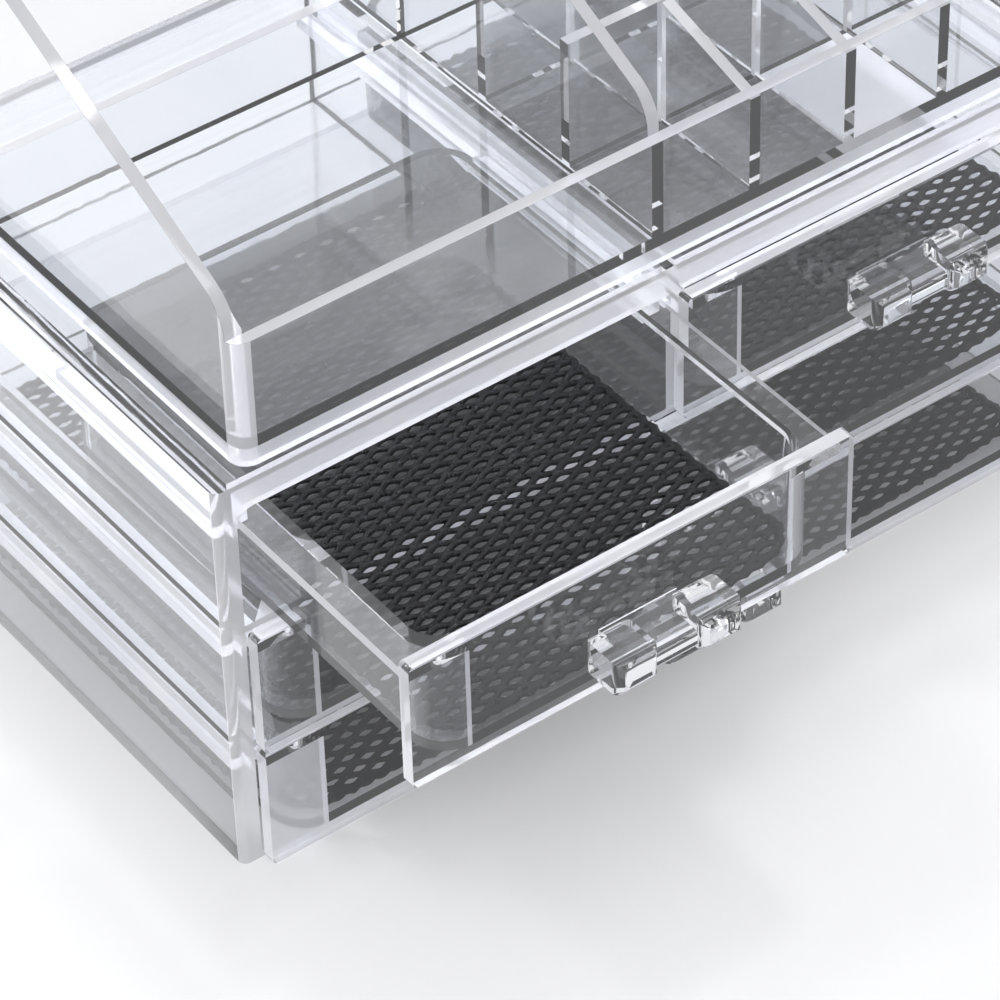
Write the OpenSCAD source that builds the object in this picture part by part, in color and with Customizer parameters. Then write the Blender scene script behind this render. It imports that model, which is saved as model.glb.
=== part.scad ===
// Clear acrylic make-up organiser: a case with three rows of drawers and a
// lift-off tray with a sloping rim. Millimetres, +Z up, front faces -Y.
// The origin is the centre of the case's bottom face.

/* [Case] */
// Width of the case, over both side walls
case_w = 238; // [200:1:300]
// Depth of the case, from the front edges to the back
case_d = 138; // [110:1:180]
// Thickness of each side wall
side_t = 5; // [3:0.5:7]
// Thickness of the back panel
back_t = 3; // [2:0.5:5]
// Thickness of the top panel
top_t = 3; // [2:0.5:5]
// Thickness of the base panel
base_t = 1.8; // [1.4:0.1:2.2]
// Thickness of the two shelves
shelf_t = 1.8; // [1.4:0.1:2.2]
// Height of the front band under the top panel's edge
band_h = 7.4; // [5:0.2:10]
// Thickness of the front band
band_t = 3; // [2:0.5:5]
// Radius of the two inner corners under the front band
band_r = 4; // [1:0.5:4]
// Radius of the upright outer edges of the case
edge_r = 2; // [0.5:0.5:2.5]
// Thickness of the centre divider in the top row
divider_t = 3.5; // [2:0.5:5]

/* [Rows and runners] */
// Height of one row of drawers
row_h = 33.2; // [30:0.2:44]
// Width of the runners on the side walls
runner_w = 5; // [3:0.5:6]
// Width of the runners on the centre divider
inner_runner_w = 3.3; // [2.5:0.1:4.5]
// Height of every runner
runner_h = 3; // [2:0.5:5]
// Distance of the runners' front tips behind the case's front
runner_back = 3.8; // [2:0.2:12]
// Gap between a runner and the drawer flange above it
runner_gap = 0.3; // [0.2:0.05:0.5]
// Gap between a drawer flange and the wall beside it
flange_side_gap = 0.8; // [0.5:0.1:1.5]
// Gap between a drawer flange and the shelf or panel above it
flange_top_gap = 2.4; // [1:0.1:4]

/* [Drawers] */
// How far the top left drawer stands open
pull_out = 55; // [0:1:90]
// Gap between the closed drawer boxes and the back panel
box_back_gap = 7.4; // [2:0.2:30]
// Thickness of the drawer box walls
box_wall = 2.1; // [1.5:0.1:3]
// Thickness of the drawer box floor
box_floor = 1.6; // [1.2:0.1:2.5]
// Inner radius of the drawer boxes' upright corners
box_r = 7; // [2:0.5:12]
// Gap under a drawer box
box_gap = 0.4; // [0.3:0.1:1]
// Thickness of the side flanges
flange_t = 2.5; // [1.5:0.1:4]
// Thickness of the drawer front plates
front_t = 3.4; // [2.5:0.1:5]
// Gap between the closed fronts and the case
front_gap = 0.4; // [0.3:0.1:1]
// Gap round each front plate
reveal = 0.3; // [0.2:0.05:0.6]
// How far the box side walls stand in from the ends of the front plate
box_inset = 6.8; // [6:0.1:12]
// Corner radius of the front plates
front_r = 1; // [0.4:0.1:2]

/* [Knobs] */
// Overall width of a knob
knob_w = 32.4; // [26:0.2:42]
// Width of each of its two lobes
lobe_w = 10.7; // [7:0.1:12]
// Depth of the lobes
lobe_d = 12.8; // [9:0.2:14]
// Height of the lobes
lobe_h = 8.6; // [8:0.2:14]
// Rounding of the lobes
lobe_r = 3; // [1:0.1:3.4]
// Height of the bar between the lobes
bar_h = 4.8; // [4:0.2:7]
// Depth of the bar
bar_d = 7.6; // [5:0.2:8]
// Rounding of the bar's edges
bar_r = 1.4; // [0.5:0.1:1.8]
// Width of the stem behind the bar
stem_w = 20; // [10:0.5:24]
// Length of the stem, from the front plate to the bar
stem_l = 5.2; // [5:0.1:9]
// Height of the knob's underside above the front plate's bottom edge
knob_z = 11.9; // [4:0.1:16]

/* [Liners] */
// Thickness of the mesh liners
liner_t = 1.6; // [1:0.1:3]
// Gap between a liner and the box walls
liner_gap = 1.2; // [0.4:0.1:3]
// Corner radius of the liners
liner_r = 9; // [3:0.5:14]

/* [Tray] */
// How far the tray stands in from the case's sides
tray_side_inset = 8.4; // [2:0.1:12]
// How far the tray stands in from the case's front and back
tray_end_inset = 2.4; // [2:0.1:12]
// Gap between the tray and the top panel
tray_gap = 0.2; // [0.1:0.05:0.5]
// Height of the foot that runs round under the tray floor
tray_foot_h = 3.2; // [2:0.1:6]
// Thickness of the tray floor
tray_floor_t = 3.1; // [2:0.1:5]
// Thickness of the tray walls
tray_wall = 3; // [2:0.1:4]
// Outer radius of the tray's upright corners
tray_r = 4.5; // [4.5:0.5:14]
// Height of the tray's front wall above its underside
tray_front_h = 32.3; // [24:0.1:45]
// Height of the tray's back above its underside
tray_back_h = 77.3; // [60:0.1:100]
// Rise of the side rims in degrees
rim_slope = 25.2; // [15:0.2:35]
// Height of the side rims above the front wall, where the slope starts
rim_lift = 7.7; // [6:0.1:16]
// Radius where the side rims turn down to the front wall
rim_r = 10; // [6:0.5:12]
// How far the main divider stands to the left of the tray's middle
main_offset = 2.1; // [0:0.1:20]
// Thickness of the lipstick dividers and rows
slot_t = 2.8; // [1.6:0.1:3.4]
// Width from one lipstick divider to the next
slot_pitch = 26.2; // [20:0.1:30]
// Length from one lipstick row to the next
slot_row = 30; // [24:0.5:36]
// Depth of the front left compartment
front_room = 88.5; // [50:0.5:110]
// Height of the cross divider above the tray floor
cross_h = 17.5; // [12:0.5:30]
// Height of the lipstick dividers above the tray floor, at the front
slot_h = 24; // [16:0.5:28]
// Rise of the lipstick dividers' tops in degrees
slot_slope = 16; // [0:0.5:22]
// Play in the half laps where the lipstick dividers cross
lap_gap = 0.1; // [0.05:0.05:0.3]

/* [Hidden] */
$fn = 48;
ROWS = 3;
SLOTS = 3;
SLOT_ROWS = 3;
clear = [0.9, 0.93, 0.97, 0.45];
black = [0.08, 0.08, 0.09, 1];

case_h = ROWS * row_h + band_h;
front_y = -case_d / 2;
back_y = case_d / 2 - back_t;
side_in = case_w / 2 - side_t;
top_z = case_h - top_t;
divider_in = divider_t / 2;

// Heights inside one row, measured from the row's bottom line
box_low = base_t + box_gap;
flange_top = row_h - flange_top_gap;
flange_low = flange_top - flange_t;
runner_top = flange_low - runner_gap;
box_h = flange_top - box_low;

// Front plates and boxes
plate_h = row_h - reveal;
plate_back = front_y - front_gap;
box_d = back_y - plate_back - box_back_gap;
wide_front = 2 * (side_in - reveal);
small_front = side_in - 1.5 * reveal;
small_x = reveal / 2 + small_front / 2;

// Tray
tray_w = case_w - 2 * tray_side_inset;
tray_d = case_d - 2 * tray_end_inset;
tray_z = case_h + tray_gap;
tray_front = -tray_d / 2;
floor_z = tray_z + tray_foot_h + tray_floor_t;
rim_front_z = tray_z + tray_front_h;
slope_z = rim_front_z + rim_lift;
tray_in_x = tray_w / 2 - tray_wall;
tray_in_y = tray_d / 2 - tray_wall;
rim_start = tray_front + tray_wall;
laps_y = [for (i = [1:SLOT_ROWS]) tray_front + tray_wall + i * slot_row];
slots_x = [for (i = [1:SLOTS]) i * slot_pitch - main_offset];

// A rectangle with true round corners, centred on the origin
module round_rect(w, d, r) {
    square([w - 2 * r, d], center = true);
    square([w, d - 2 * r], center = true);
    for (x = [-1, 1], y = [-1, 1])
        translate([x * (w / 2 - r), y * (d / 2 - r)])
            circle(r);
}

// A block between two corners
module block(low, high) {
    translate(low)
        cube(high - low);
}

// Extrudes a Y-Z outline along X, centred
module along_x(w) {
    rotate([90, 0, 90])
        linear_extrude(w, center = true)
            children();
}

// Side wall with rounded upright outer edges, on the +X side
module side_wall() {
    color(clear)
        intersection() {
            linear_extrude(case_h)
                round_rect(case_w, case_d, edge_r);
            block([side_in, front_y, 0], [case_w / 2, -front_y, case_h]);
        }
}

module case_left_side() {
    mirror([1, 0, 0])
        side_wall();
}

module case_right_side() {
    side_wall();
}

// The rounded inner corner under the front band, on the +X side
module band_corner() {
    low = top_z - (band_h - top_t);
    translate([0, front_y + band_t, 0])
        rotate([90, 0, 0])
            linear_extrude(band_t)
                difference() {
                    translate([side_in - band_r, low - band_r])
                        square(band_r);
                    translate([side_in - band_r, low - band_r])
                        circle(band_r);
                }
}

module case_top() {
    color(clear) {
        block([-side_in, front_y, top_z], [side_in, back_y, case_h]);
        block([-side_in, front_y, case_h - band_h], [side_in, front_y + band_t, top_z]);
        band_corner();
        mirror([1, 0, 0])
            band_corner();
    }
}

module case_back() {
    color(clear)
        block([-side_in, back_y, 0], [side_in, -front_y, case_h]);
}

// A panel across the case, with its underside at height z
module cross_panel(z, t) {
    color(clear)
        block([-side_in, front_y, z], [side_in, back_y, z + t]);
}

module case_base() {
    cross_panel(0, base_t);
}

module shelf_lower() {
    cross_panel(row_h + base_t - shelf_t, shelf_t);
}

module shelf_upper() {
    cross_panel(2 * row_h + base_t - shelf_t, shelf_t);
}

// Divider between the two small drawers, notched round the front band
module centre_divider() {
    low = 2 * row_h + base_t;
    color(clear)
        difference() {
            block([-divider_in, front_y, low], [divider_in, back_y, top_z]);
            block([-divider_t, front_y - band_t, case_h - band_h],
                [divider_t, front_y + band_t, case_h]);
        }
}

// One runner strip that stands out from the plane x = wall towards +X
module runner(wall, w, row) {
    block([wall, front_y + runner_back, row * row_h + runner_top - runner_h],
        [wall + w, back_y, row * row_h + runner_top]);
}

module left_runners() {
    color(clear)
        for (row = [0:ROWS - 1])
            runner(-side_in, runner_w, row);
}

module right_runners() {
    mirror([1, 0, 0])
        left_runners();
}

module divider_runners() {
    color(clear)
        for (side = [0, 1])
            mirror([side, 0, 0])
                runner(divider_in, inner_runner_w, ROWS - 1);
}

// Open drawer box: x is the centre of its front, left and right are the two
// ends of its side flanges, and out is how far it is pulled
module drawer_box(x, w, left, right, row, out) {
    outer_r = box_r + box_wall;
    mid_y = plate_back + box_d / 2;
    color(clear)
        translate([0, -out, row * row_h + box_low])
            difference() {
                union() {
                    translate([x, mid_y, 0])
                        linear_extrude(box_h)
                            round_rect(w, box_d, outer_r);
                    block([left, plate_back, box_h - flange_t],
                        [right, plate_back + box_d - outer_r, box_h]);
                }
                translate([x, mid_y, box_floor])
                    linear_extrude(box_h)
                        round_rect(w - 2 * box_wall, box_d - 2 * box_wall, box_r);
            }
}

module drawer_front(x, w, row, out) {
    color(clear)
        translate([x, plate_back - out, row * row_h + reveal + plate_h / 2])
            rotate([90, 0, 0])
                linear_extrude(front_t)
                    round_rect(w, plate_h, front_r);
}

// One lobe of a knob, rounded seen from the side and seen from above
module lobe() {
    intersection() {
        along_x(lobe_w)
            round_rect(lobe_d, lobe_h, lobe_r);
        linear_extrude(lobe_h, center = true)
            round_rect(lobe_w, lobe_d, lobe_r);
    }
}

// The stem, the bar and the lobes are flush at the knob's underside
module drawer_knob(x, row, out) {
    lobe_x = (knob_w - lobe_w) / 2;
    grip_y = -stem_l - bar_d / 2;
    color(clear)
        translate([x, plate_back - front_t - out, row * row_h + reveal + knob_z]) {
            block([-stem_w / 2, grip_y, 0], [stem_w / 2, 0, bar_h]);
            translate([0, grip_y, bar_h / 2])
                along_x(2 * lobe_x)
                    round_rect(bar_d, bar_h, bar_r);
            for (side = [-1, 1])
                translate([side * lobe_x, grip_y, lobe_h / 2])
                    lobe();
        }
}

module drawer_liner(x, w, row, out) {
    inset = 2 * (box_wall + liner_gap);
    color(black)
        translate([x, plate_back + box_d / 2 - out, row * row_h + box_low + box_floor])
            linear_extrude(liner_t)
                round_rect(w - inset, box_d - inset, liner_r);
}

// The four drawers: centre, front width, flange ends, row and opening
small_box = small_front - 2 * box_inset;
wide_box = wide_front - 2 * box_inset;
flange_out = side_in - flange_side_gap;
flange_in = divider_in + flange_side_gap;
top_row = ROWS - 1;

module top_left_box() {
    drawer_box(-small_x, small_box, -flange_out, -flange_in, top_row, pull_out);
}

module top_left_front() {
    drawer_front(-small_x, small_front, top_row, pull_out);
}

module top_left_knob() {
    drawer_knob(-small_x, top_row, pull_out);
}

module top_left_liner() {
    drawer_liner(-small_x, small_box, top_row, pull_out);
}

module top_right_box() {
    drawer_box(small_x, small_box, flange_in, flange_out, top_row, 0);
}

module top_right_front() {
    drawer_front(small_x, small_front, top_row, 0);
}

module top_right_knob() {
    drawer_knob(small_x, top_row, 0);
}

module top_right_liner() {
    drawer_liner(small_x, small_box, top_row, 0);
}

module middle_box() {
    drawer_box(0, wide_box, -flange_out, flange_out, 1, 0);
}

module middle_front() {
    drawer_front(0, wide_front, 1, 0);
}

module middle_knob() {
    drawer_knob(0, 1, 0);
}

module middle_liner() {
    drawer_liner(0, wide_box, 1, 0);
}

module bottom_box() {
    drawer_box(0, wide_box, -flange_out, flange_out, 0, 0);
}

module bottom_front() {
    drawer_front(0, wide_front, 0, 0);
}

module bottom_knob() {
    drawer_knob(0, 0, 0);
}

module bottom_liner() {
    drawer_liner(0, wide_box, 0, 0);
}

// Side view of the tray's rim, as an outline in Y and Z: flat over the front
// wall, a round turn, the long slope and a level top at the back
module rim_profile(start, foot_z, turn_z, top) {
    far = tray_d / 2;
    run = (top - turn_z) / tan(rim_slope);
    turn = rim_r * tan((90 - rim_slope) / 2);
    difference() {
        polygon([
            [start, foot_z],
            [start, turn_z],
            [min(start + run, far), min(top, turn_z + (far - start) * tan(rim_slope))],
            [far, min(top, turn_z + (far - start) * tan(rim_slope))],
            [far, foot_z]
        ]);
        translate([start, turn_z - turn])
            difference() {
                translate([-rim_r, 0])
                    square([rim_r + turn * cos(rim_slope), 2 * rim_r]);
                translate([rim_r, 0])
                    circle(rim_r);
                translate([turn * cos(rim_slope), -rim_r])
                    square([2 * rim_r, 4 * rim_r]);
            }
    }
}

// A block of the tray's inside outline, from the height z up
module tray_room(z, h) {
    translate([0, 0, z])
        linear_extrude(h)
            round_rect(2 * tray_in_x, 2 * tray_in_y, tray_r - tray_wall);
}

// Moulded tray: walls, rounded upright corners and a floor raised on a foot
module tray_body() {
    color(clear)
        difference() {
            intersection() {
                translate([0, 0, tray_z])
                    linear_extrude(tray_back_h)
                        round_rect(tray_w, tray_d, tray_r);
                union() {
                    block([-tray_w / 2, tray_front, tray_z],
                        [tray_w / 2, tray_d / 2, rim_front_z]);
                    along_x(tray_w)
                        rim_profile(rim_start, tray_z, slope_z, tray_z + tray_back_h);
                }
            }
            tray_room(floor_z, tray_back_h);
            tray_room(tray_z - tray_foot_h, 2 * tray_foot_h);
        }
}

// Divider down the middle of the tray, with the same slope as the side rims
module tray_main_divider() {
    color(clear)
        translate([-main_offset, 0, 0])
            intersection() {
                along_x(tray_wall)
                    rim_profile(rim_start, floor_z, slope_z, tray_z + tray_back_h);
                block([-tray_wall, rim_start, floor_z],
                    [tray_wall, tray_in_y, case_h + tray_back_h]);
            }
}

// Low divider behind the front left compartment
module tray_cross_divider() {
    y = rim_start + front_room;
    color(clear)
        block([-tray_in_x, y, floor_z],
            [-main_offset - tray_wall / 2, y + tray_wall, floor_z + cross_h]);
}

// Height of a lipstick divider's sloping top at the depth y
function slot_top(y) = floor_z + slot_h + (y - rim_start) * tan(slot_slope);
// Height of the middle of a crossing at the depth y
function lap_z(y) = floor_z + (slot_top(y) - floor_z) / 2;

// Dividers that run front to back, slotted from above at each crossing
module tray_slot_dividers() {
    last = laps_y[SLOT_ROWS - 1];
    color(clear)
        for (x = slots_x)
            difference() {
                translate([x, 0, 0])
                    along_x(slot_t)
                        polygon([
                            [rim_start, floor_z],
                            [rim_start, slot_top(rim_start)],
                            [last, slot_top(last)],
                            [last, floor_z]
                        ]);
                for (y = laps_y)
                    block([x - slot_t, y - slot_t / 2 - lap_gap, lap_z(y) - lap_gap],
                        [x + slot_t, y + slot_t / 2 + lap_gap, slot_top(last) + slot_t]);
            }
}

// Rows that run across, slotted from below to drop over the dividers
module tray_slot_rows() {
    color(clear)
        for (y = laps_y)
            difference() {
                block([tray_wall / 2 - main_offset, y - slot_t / 2, floor_z],
                    [tray_in_x, y + slot_t / 2, slot_top(y)]);
                for (x = slots_x)
                    block([x - slot_t / 2 - lap_gap, y - slot_t, floor_z - slot_t],
                        [x + slot_t / 2 + lap_gap, y + slot_t, lap_z(y) + lap_gap]);
            }
}

case_left_side();
case_right_side();
case_top();
case_base();
case_back();
shelf_lower();
shelf_upper();
centre_divider();
left_runners();
right_runners();
divider_runners();
top_left_box();
top_left_front();
top_left_knob();
top_left_liner();
top_right_box();
top_right_front();
top_right_knob();
top_right_liner();
middle_box();
middle_front();
middle_knob();
middle_liner();
bottom_box();
bottom_front();
bottom_knob();
bottom_liner();
tray_body();
tray_main_divider();
tray_cross_divider();
tray_slot_dividers();
tray_slot_rows();
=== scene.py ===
"""Looks of a clear acrylic make-up organiser with drawers and a lift-off tray."""
import math
import random

import bmesh
import bpy
from mathutils import Matrix, Vector


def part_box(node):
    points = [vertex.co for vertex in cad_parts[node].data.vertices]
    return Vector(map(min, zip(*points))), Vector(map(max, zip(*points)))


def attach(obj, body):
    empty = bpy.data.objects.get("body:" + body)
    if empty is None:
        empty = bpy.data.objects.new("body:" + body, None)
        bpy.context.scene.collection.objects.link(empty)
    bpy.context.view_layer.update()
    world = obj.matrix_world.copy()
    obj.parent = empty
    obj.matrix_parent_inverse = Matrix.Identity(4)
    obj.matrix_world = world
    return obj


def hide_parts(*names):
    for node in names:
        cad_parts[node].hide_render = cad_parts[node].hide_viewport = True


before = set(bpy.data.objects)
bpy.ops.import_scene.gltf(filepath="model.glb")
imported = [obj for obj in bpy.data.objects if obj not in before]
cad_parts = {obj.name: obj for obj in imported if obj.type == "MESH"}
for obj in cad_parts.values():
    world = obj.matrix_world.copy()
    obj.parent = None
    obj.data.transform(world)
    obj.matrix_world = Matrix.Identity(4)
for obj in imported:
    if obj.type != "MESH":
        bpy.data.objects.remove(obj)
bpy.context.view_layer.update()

MM = 0.001
DRAWERS = ("top_left", "top_right", "middle", "bottom")
CASE_NODES = (
    "case_left_side", "case_right_side", "case_top", "case_base", "case_back",
    "shelf_lower", "shelf_upper", "centre_divider",
    "left_runners", "right_runners", "divider_runners",
)
TRAY_NODES = (
    "tray_body", "tray_main_divider", "tray_cross_divider",
    "tray_slot_dividers", "tray_slot_rows",
)

# Corners nearer than this are welded, and faces at a smaller angle than FLAT_ANGLE are merged
WELD = 0.002 * MM
FLAT_ANGLE = math.radians(1)

# Edges sharper than SHARP_ANGLE are rounded by these widths
SHARP_ANGLE = math.radians(40)
CASE_BEVEL = 0.5 * MM
DRAWER_BEVEL = 0.4 * MM

# Faces narrower than this are panel ends: they get a paler, half-milky finish that is partly their own
# and partly painted for the light that the panel carries, with a painted glow; a facet of a round has
# two long edges softer than SOFT_ANGLE
CASE_EDGE = 5.4 * MM
DRAWER_EDGE = 4.0 * MM
SOFT_ANGLE = math.radians(35)
LONG_EDGE = 0.3

# Liner net: strands zigzag across the drawer, NET_ROW apart, and touch at the knots. NET_STRAND is
# half a strand's width and height. NET_SHIFT is how far strands stray, and the two ranges after it
# are the shares by which strands and the looped edge differ in thickness.
NET_SIDES = 6
NET_STEPS = 8
NET_PERIOD = 7.5 * MM
NET_ROW = 2.02 * MM
NET_SWING = 0.5 * MM
NET_STRAND = (0.98 * MM, 0.6 * MM)
NET_RIPPLE = 0.18 * MM
NET_CORNER = 9 * MM
NET_EDGE = 0.9 * MM
NET_LOOP = 0.3 * MM
NET_SHIFT = 0.06 * MM
NET_THICKNESS = (0.9, 1.1)
NET_EDGE_THICKNESS = (0.95, 1.25)

# The net's front right corner curls up by NET_CURL; the curl starts CURL_FROM of the way from the
# middle, where the corner is at 2
NET_CURL = 3.0 * MM
CURL_FROM = 1.5

# The two acrylic finishes: a pair of tones, the range of roughness, the share of light that passes
# and a faint painted glow, which stands in for light trapped in and carried along the panels
ACRYLIC_IOR = 1.49
CLEAR = {
    "tints": ((0.965, 0.976, 0.995, 1), (0.98, 0.987, 1.0, 1)),
    "rough": (0.008, 0.035), "clear": 1.0, "painted_glow": 0.014,
}
# Panel ends: partly their own milky finish, partly painted light, with a stronger painted glow for the
# light the panel carries
PALE_EDGE_AND_PAINTED_GLOW = {
    "tints": ((0.88, 0.885, 0.955, 1), (0.955, 0.96, 0.99, 1)),
    "rough": (0.06, 0.2), "clear": 0.55, "painted_glow": 0.08,
}

# Brightness of the studio by the height of the direction: as light, and as seen in reflections
STUDIO_LIGHT = ((0.0, 0.27), (0.4, 0.86))
STUDIO_MIRRORED = ((0.0, 0.9), (0.3, 0.75), (0.45, 0.22), (0.8, 0.22), (0.95, 0.9))

# Lamps, which all point at AIM: name, place and size in metres, and power in watts
AIM = (0, 0, 0.05)
LAMPS = (
    ("key", (-0.6, -0.3, 1.3), (0.9, 0.9), 4.5),
    ("back", (0.35, 0.45, 1.25), (0.14, 0.14), 2.2),
    ("side", (-0.45, 0.5, 0.9), (0.12, 0.12), 1.2),
)

# Round the case the table has a painted glow of its own, which lifts the shadows there and fades in
# over GLOW_FADE from the case's outline; in reflections the table is painted dark in front, like a
# card, where x - y is over PAINTED_REFLECTION_FROM
FLOOR_SIZE = 12.0
CASE_REACH = (0.119, 0.069)
FLOOR_PAINTED_GLOW = 0.17
GLOW_FADE = (-0.02, 0.02)
PAINTED_REFLECTION_TONE = (0.12, 0.12, 0.125, 1)
PAINTED_REFLECTION_FROM = -0.04
PAINTED_REFLECTION_FADE = 0.03

# Camera of the photograph: place in metres, heading, tilt and roll in degrees
CAMERA_AT = Vector((-0.50738, -0.70666, 0.76986))
CAMERA_HEADING = 35.77
CAMERA_TILT = 41.82
CAMERA_ROLL = -1.71
CAMERA_LENS = 178.28
SENSOR = 36.0


# ---------------------------------------------------------------- materials

def new_material(name):
    """An empty node material and its Principled shader."""
    material = bpy.data.materials.new(name)
    material.use_nodes = True
    return material, material.node_tree.nodes["Principled BSDF"]


def add_node(material, kind, **values):
    """A node of that kind, with its inputs set by name."""
    node = material.node_tree.nodes.new(kind)
    for key, value in values.items():
        node.inputs[key.replace("_", " ")].default_value = value
    return node


def link(material, source, target):
    """Joins two sockets of a material."""
    material.node_tree.links.new(source, target)


def noise_range(material, scale, detail, low, high):
    """A socket with object-space noise that is stretched between two values."""
    place = add_node(material, "ShaderNodeTexCoord")
    noise = add_node(material, "ShaderNodeTexNoise", Scale=scale, Detail=detail)
    spread = add_node(material, "ShaderNodeMapRange", From_Min=0.35, From_Max=0.65,
                      To_Min=low, To_Max=high)
    link(material, place.outputs["Object"], noise.inputs["Vector"])
    link(material, noise.outputs["Fac"], spread.inputs["Value"])
    return spread.outputs["Result"]


def two_tones(material, factor, dark, pale):
    """A colour between two tones, chosen by the factor socket."""
    blend = material.node_tree.nodes.new("ShaderNodeMix")
    blend.data_type = "RGBA"
    blend.inputs["A"].default_value = dark
    blend.inputs["B"].default_value = pale
    link(material, factor, blend.inputs["Factor"])
    return blend.outputs["Result"]


def maths(tree, operation, first, second=0.0):
    """A maths node's socket; each operand is a socket or a number."""
    node = tree.nodes.new("ShaderNodeMath")
    node.operation = operation
    for target, value in zip(node.inputs, (first, second)):
        if isinstance(value, float):
            target.default_value = value
        else:
            tree.links.new(value, target)
    return node.outputs[0]


def outer_reflection(tree):
    """A socket that is 1 for rays thrown back by an outer surface: glossy and not transmitted."""
    path = tree.nodes.new("ShaderNodeLightPath")
    glossy, passed = path.outputs["Is Glossy Ray"], path.outputs["Is Transmission Ray"]
    return maths(tree, "MAXIMUM", maths(tree, "SUBTRACT", glossy, passed), 0.0)


def any_reflection(tree):
    """A socket that is 1 for rays that some surface, outer or inner, has thrown back."""
    path = tree.nodes.new("ShaderNodeLightPath")
    return maths(tree, "MINIMUM", path.outputs["Glossy Depth"], 1.0)


def acrylic(name, tints, rough, clear, painted_glow):
    """Polished acrylic, hardly wavy and faintly hazed, with a faint painted glow for light trapped in
    the panels; clear is the share of light that passes.

    For shadows it is almost fully see-through, as thin clear panels are."""
    material, shader = new_material(name)
    shader.inputs["IOR"].default_value = ACRYLIC_IOR
    shader.inputs["Transmission Weight"].default_value = clear
    # Painted glow: an even emission that stands in for light trapped in and carried along the panels
    shader.inputs["Emission Color"].default_value = (0.97, 0.98, 1.0, 1)
    shader.inputs["Emission Strength"].default_value = painted_glow
    tone = two_tones(material, noise_range(material, 35.0, 3.0, 0.0, 1.0), *tints)
    link(material, tone, shader.inputs["Base Color"])
    link(material, noise_range(material, 90.0, 4.0, *rough), shader.inputs["Roughness"])
    bump = add_node(material, "ShaderNodeBump", Strength=0.02, Distance=0.0005)
    link(material, noise_range(material, 60.0, 2.0, 0.0, 1.0), bump.inputs["Height"])
    link(material, bump.outputs["Normal"], shader.inputs["Normal"])
    path = add_node(material, "ShaderNodeLightPath")
    through = add_node(material, "ShaderNodeBsdfTransparent", Color=(0.993, 0.994, 0.996, 1))
    mix = add_node(material, "ShaderNodeMixShader")
    link(material, path.outputs["Is Shadow Ray"], mix.inputs[0])
    link(material, shader.outputs[0], mix.inputs[1])
    link(material, through.outputs[0], mix.inputs[2])
    link(material, mix.outputs[0], material.node_tree.nodes["Material Output"].inputs["Surface"])
    return material


def black_net():
    """Shiny black plastic yarn of the liner net, with its fine filaments."""
    material, shader = new_material("black_net")
    tone = two_tones(material, noise_range(material, 900.0, 3.0, 0.0, 1.0),
                     (0.003, 0.003, 0.004, 1), (0.012, 0.012, 0.014, 1))
    link(material, tone, shader.inputs["Base Color"])
    link(material, noise_range(material, 500.0, 2.0, 0.08, 0.24), shader.inputs["Roughness"])
    shader.inputs["Specular IOR Level"].default_value = 0.4
    bump = add_node(material, "ShaderNodeBump", Strength=0.7, Distance=0.0002)
    link(material, noise_range(material, 1500.0, 4.0, 0.0, 1.0), bump.inputs["Height"])
    link(material, bump.outputs["Normal"], shader.inputs["Normal"])
    return material


def floor_white():
    """Pale table top with a painted glow round the case; what the fronts reflect of it is painted
    darker, so that they keep their contrast.
    """
    material, shader = new_material("floor_white")
    tree = material.node_tree
    place = add_node(material, "ShaderNodeTexCoord")
    split = add_node(material, "ShaderNodeSeparateXYZ")
    link(material, place.outputs["Object"], split.inputs[0])
    x, y = split.outputs["X"], split.outputs["Y"]
    # Painted reflection: for rays that a surface threw back, the table in front is painted in the dark
    # tone
    front = add_node(material, "ShaderNodeMapRange", From_Min=PAINTED_REFLECTION_FROM - PAINTED_REFLECTION_FADE, From_Max=PAINTED_REFLECTION_FROM)
    link(material, maths(tree, "SUBTRACT", x, y), front.inputs["Value"])
    painted_reflection = maths(tree, "MULTIPLY", front.outputs["Result"], any_reflection(tree))
    past_x = maths(tree, "SUBTRACT", maths(tree, "ABSOLUTE", x), CASE_REACH[0])
    past_y = maths(tree, "SUBTRACT", maths(tree, "ABSOLUTE", y), CASE_REACH[1])
    # Painted glow: emission that is none under the case and fades in round its outline, lifting the
    # shadows there
    painted_glow = add_node(material, "ShaderNodeMapRange", From_Min=GLOW_FADE[0], From_Max=GLOW_FADE[1],
                    To_Min=0.0, To_Max=FLOOR_PAINTED_GLOW)
    link(material, maths(tree, "MAXIMUM", past_x, past_y), painted_glow.inputs["Value"])
    tone = two_tones(material, noise_range(material, 4.0, 3.0, 0.0, 1.0),
                     (0.72, 0.72, 0.727, 1), (0.735, 0.735, 0.74, 1))
    seen = two_tones(material, painted_reflection, (1, 1, 1, 1), PAINTED_REFLECTION_TONE)
    link(material, tone, seen.node.inputs["A"])
    link(material, seen, shader.inputs["Base Color"])
    link(material, noise_range(material, 40.0, 4.0, 0.5, 0.65), shader.inputs["Roughness"])
    shader.inputs["Emission Color"].default_value = (1, 1, 1, 1)
    link(material, painted_glow.outputs["Result"], shader.inputs["Emission Strength"])
    return material


# ------------------------------------------------------------------- meshes

def clean_copy(node):
    """A welded copy of a CAD node's mesh, as a new hidden object."""
    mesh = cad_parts[node].data.copy()
    work = bmesh.new()
    work.from_mesh(mesh)
    bmesh.ops.remove_doubles(work, verts=work.verts, dist=WELD)
    work.to_mesh(mesh)
    work.free()
    mesh.materials.clear()
    return bpy.data.objects.new("work_" + node, mesh)


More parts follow.
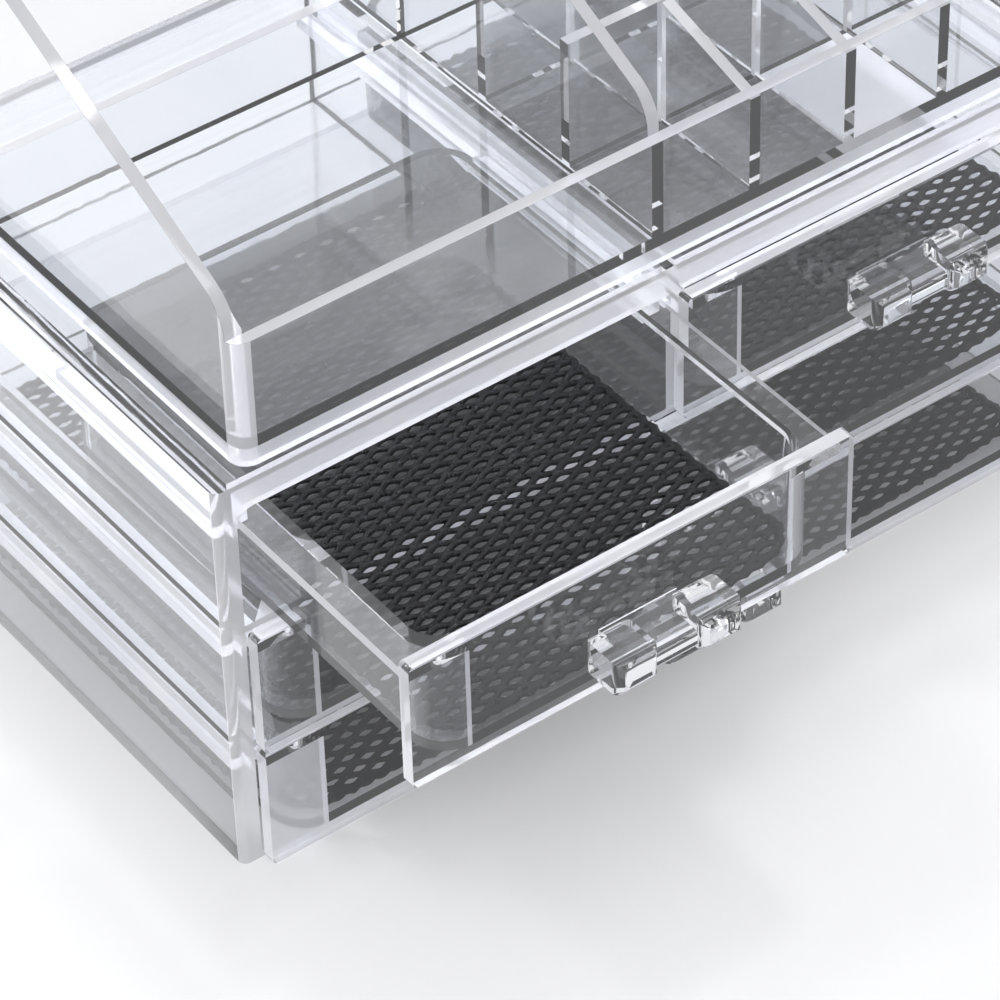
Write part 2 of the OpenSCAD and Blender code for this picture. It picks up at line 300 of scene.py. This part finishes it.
def panel_end(face, limit, plain, rounds):
    """Whether a face is narrower than the limit and outside the boxes of the plain nodes.

    Facets of a round count too where rounds is true."""
    around = face.calc_perimeter()
    if 2 * face.calc_area() / around > limit:
        return False
    middle = face.calc_center_median()
    for low, high in plain:
        if all(low[i] <= middle[i] <= high[i] for i in range(3)):
            return False
    soft = [
        e for e in face.edges
        if e.calc_length() > LONG_EDGE * around and e.calc_face_angle(0) < SOFT_ANGLE
    ]
    return rounds or len(soft) < 2


def fused(name, nodes, finishes, bevel, limit, plain=(), rounds=True):
    """One clear moulding from several CAD nodes: welded, planar faces merged, edges rounded.

    The finishes are that of the panels and that of the panel ends."""
    first = clean_copy(nodes[0])
    bpy.context.scene.collection.objects.link(first)
    others = []
    for node in nodes[1:]:
        other = clean_copy(node)
        bpy.context.scene.collection.objects.link(other)
        others.append(other)
        cut = first.modifiers.new(node, "BOOLEAN")
        cut.operation = "UNION"
        cut.solver = "EXACT"
        cut.object = other
    graph = bpy.context.evaluated_depsgraph_get()
    mesh = bpy.data.meshes.new_from_object(first.evaluated_get(graph))
    for work_object in [first] + others:
        bpy.data.objects.remove(work_object)
    mesh.name = name
    work = bmesh.new()
    work.from_mesh(mesh)
    bmesh.ops.remove_doubles(work, verts=work.verts, dist=WELD)
    bmesh.ops.dissolve_limit(work, angle_limit=FLAT_ANGLE, verts=work.verts, edges=work.edges)
    plain_boxes = [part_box(node) for node in plain]
    for face in work.faces:
        face.material_index = int(panel_end(face, limit, plain_boxes, rounds))
    sharp = [e for e in work.edges if len(e.link_faces) == 2 and e.calc_face_angle(0) > SHARP_ANGLE]
    bmesh.ops.bevel(work, geom=sharp, offset=bevel, segments=2, profile=0.5, affect="EDGES",
                    clamp_overlap=True)
    for face in work.faces:
        face.smooth = True
    mesh.materials.clear()
    for finish in finishes:
        mesh.materials.append(finish)
    work.to_mesh(mesh)
    work.free()
    made = bpy.data.objects.new(name, mesh)
    bpy.context.scene.collection.objects.link(made)
    even = made.modifiers.new("even_normals", "WEIGHTED_NORMAL")
    even.weight = 100
    even.keep_sharp = True
    return made


def tube(work, path, radius, closed=False):
    """A tube of NET_SIDES faces along a path of (point, sideways, size) rows, open ends capped."""
    turns = [2 * math.pi * i / NET_SIDES for i in range(NET_SIDES)]
    rings = []
    for (x, y, z), (sx, sy), size in path:
        wide, tall = size * radius[0], size * radius[1]
        rings.append([
            work.verts.new((
                x + sx * wide * math.cos(t),
                y + sy * wide * math.cos(t),
                z + tall * math.sin(t),
            ))
            for t in turns
        ])
    pairs = list(zip(rings, rings[1:])) + ([(rings[-1], rings[0])] if closed else [])
    for near, far in pairs:
        for i in range(NET_SIDES):
            j = (i + 1) % NET_SIDES
            work.faces.new((near[i], near[j], far[j], far[i]))
    if not closed:
        work.faces.new(rings[0][::-1])
        work.faces.new(rings[-1])


def outline_half_width(y, half_w, half_d, corner):
    """Half the width of a rounded rectangle at the distance y from its middle."""
    past = abs(y) - (half_d - corner)
    if past <= 0:
        return half_w
    return half_w - corner + math.sqrt(max(corner ** 2 - past ** 2, 0))


def outline_points(half_w, half_d, corner, step):
    """Points and outward directions round a rounded rectangle, about step apart."""
    spots = []
    for turn, (sx, sy) in enumerate(((1, 1), (-1, 1), (-1, -1), (1, -1))):
        centre_x, centre_y = sx * (half_w - corner), sy * (half_d - corner)
        arcs = max(2, round(math.pi / 2 * corner / step))
        for i in range(arcs):
            a = math.pi / 2 * (turn + i / arcs)
            out = (math.cos(a), math.sin(a))
            spots.append((centre_x + corner * out[0], centre_y + corner * out[1], out))
        a = math.pi / 2 * (turn + 1)
        out = (math.cos(a), math.sin(a))
        along = 2 * (half_w - corner) if turn % 2 == 0 else 2 * (half_d - corner)
        steps = max(1, round(along / step))
        for i in range(steps):
            x = centre_x + corner * out[0] - out[1] * along * i / steps
            y = centre_y + corner * out[1] + out[0] * along * i / steps
            spots.append((x, y, out))
    return spots


def net_mat(name, node, material):
    """Knitted net in the liner's place: zigzag strands that touch at the knots, and a looped edge."""
    low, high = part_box(node)
    half_w, half_d = (high[0] - low[0]) / 2 - NET_EDGE, (high[1] - low[1]) / 2 - NET_EDGE
    middle = Vector(((low[0] + high[0]) / 2, (low[1] + high[1]) / 2, low[2]))
    corner = NET_CORNER - NET_EDGE
    height = NET_STRAND[1] + NET_RIPPLE
    chance = random.Random(name)
    work = bmesh.new()
    rows = int(half_d / NET_ROW)
    step = NET_PERIOD / NET_STEPS
    for row in range(-rows, rows + 1):
        y, side = row * NET_ROW, (-1) ** row
        reach = int((outline_half_width(y, half_w, half_d, corner) + NET_EDGE / 2) / step)
        path = []
        for i in range(-reach, reach + 1):
            swing = side * math.sin(2 * math.pi * i / NET_STEPS)
            across = y + NET_SWING * swing + chance.gauss(0, NET_SHIFT)
            spot = (i * step, across, height + NET_RIPPLE * swing)
            path.append((spot, (0, 1), chance.uniform(*NET_THICKNESS)))
        tube(work, path, NET_STRAND)
    edge = []
    for i, (x, y, out) in enumerate(outline_points(half_w, half_d, corner, NET_ROW / 2)):
        push = NET_LOOP * (math.sin(math.pi * i / 2) + chance.uniform(-0.5, 0.5))
        spot = (x + push * out[0], y + push * out[1], height + chance.uniform(-0.5, 0.5) * NET_RIPPLE)
        edge.append((spot, out, chance.uniform(*NET_EDGE_THICKNESS)))
    tube(work, edge, NET_STRAND, closed=True)
    for vert in work.verts:
        rise = (vert.co.x / half_w - vert.co.y / half_d - CURL_FROM) / (2 - CURL_FROM)
        vert.co.z += NET_CURL * max(rise, 0) ** 2
        vert.co += middle
    for face in work.faces:
        face.smooth = True
    mesh = bpy.data.meshes.new(name)
    work.to_mesh(mesh)
    work.free()
    mesh.materials.append(material)
    made = bpy.data.objects.new(name, mesh)
    bpy.context.scene.collection.objects.link(made)
    return made


# -------------------------------------------------------------------- stage

def add_floor():
    """The table that the case stands on."""
    bpy.ops.mesh.primitive_plane_add(size=FLOOR_SIZE, location=(0, 0, 0))
    floor = bpy.context.object
    floor.name = "floor"
    floor.data.materials.append(floor_white())


def add_camera():
    """The photograph's camera, from its place, heading, tilt and roll."""
    heading = math.radians(CAMERA_HEADING)
    tilt = math.radians(CAMERA_TILT)
    roll = math.radians(CAMERA_ROLL)
    level = math.cos(tilt)
    ahead = Vector((math.sin(heading) * level, math.cos(heading) * level, -math.sin(tilt)))
    side = ahead.cross(Vector((0, 0, 1))).normalized()
    up = side.cross(ahead)
    right = math.cos(roll) * side + math.sin(roll) * up
    top = -math.sin(roll) * side + math.cos(roll) * up
    data = bpy.data.cameras.new("camera")
    data.lens = CAMERA_LENS
    data.sensor_width = SENSOR
    camera = bpy.data.objects.new("camera", data)
    turn = Matrix((right, top, -ahead)).transposed().to_4x4()
    camera.matrix_world = Matrix.Translation(CAMERA_AT) @ turn
    bpy.context.scene.collection.objects.link(camera)
    bpy.context.scene.camera = camera


def add_area(name, at, size, power):
    """A soft rectangular lamp that points at the case."""
    data = bpy.data.lights.new(name, "AREA")
    data.shape = "RECTANGLE"
    data.size, data.size_y = size
    data.energy = power
    lamp = bpy.data.objects.new(name, data)
    lamp.location = at
    lamp.rotation_euler = (Vector(AIM) - Vector(at)).to_track_quat("-Z", "Y").to_euler()
    bpy.context.scene.collection.objects.link(lamp)


def height_ramp(tree, height, stops):
    """A nearly grey ramp over the height of a direction."""
    ramp = tree.nodes.new("ShaderNodeValToRGB")
    elements = ramp.color_ramp.elements
    while len(elements) < len(stops):
        elements.new(1.0)
    for element, (place, level) in zip(elements, stops):
        element.position = place
        element.color = (level, level, 1.02 * level, 1)
    tree.links.new(height, ramp.inputs[0])
    return ramp.outputs[0]


def add_world():
    """The studio round the object: pale from all sides, and darker where the panels mirror it."""
    world = bpy.data.worlds.new("studio")
    bpy.context.scene.world = world
    world.use_nodes = True
    tree = world.node_tree
    place = tree.nodes.new("ShaderNodeTexCoord")
    split = tree.nodes.new("ShaderNodeSeparateXYZ")
    tree.links.new(place.outputs["Generated"], split.inputs[0])
    blend = tree.nodes.new("ShaderNodeMix")
    blend.data_type = "RGBA"
    tree.links.new(outer_reflection(tree), blend.inputs["Factor"])
    tree.links.new(height_ramp(tree, split.outputs["Z"], STUDIO_LIGHT), blend.inputs["A"])
    tree.links.new(height_ramp(tree, split.outputs["Z"], STUDIO_MIRRORED), blend.inputs["B"])
    tree.links.new(blend.outputs["Result"], tree.nodes["Background"].inputs["Color"])
    tree.nodes["Background"].inputs["Strength"].default_value = 1.0


# --------------------------------------------------------------------- build

add_camera()
add_world()
add_floor()
for lamp_row in LAMPS:
    add_area(*lamp_row)

panes = (acrylic("clear_acrylic", **CLEAR), acrylic("acrylic_edge_painted_glow", **PALE_EDGE_AND_PAINTED_GLOW))
net = black_net()

case = fused("case_shell", CASE_NODES, panes, CASE_BEVEL, CASE_EDGE)
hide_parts(*CASE_NODES)
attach(case, "case")

tray = fused("tray_shell", TRAY_NODES, panes, CASE_BEVEL, CASE_EDGE)
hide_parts(*TRAY_NODES)
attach(tray, "tray")

for drawer in DRAWERS:
    parts = tuple(drawer + "_" + part for part in ("box", "front", "knob"))
    body = fused(drawer + "_moulding", parts, panes, DRAWER_BEVEL, DRAWER_EDGE, parts[2:], rounds=False)
    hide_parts(*parts)
    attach(body, drawer + "_drawer")
    mat = net_mat(drawer + "_net", drawer + "_liner", net)
    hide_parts(drawer + "_liner")
    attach(mat, drawer + "_drawer")

bpy.context.scene.view_settings.view_transform = "Standard"
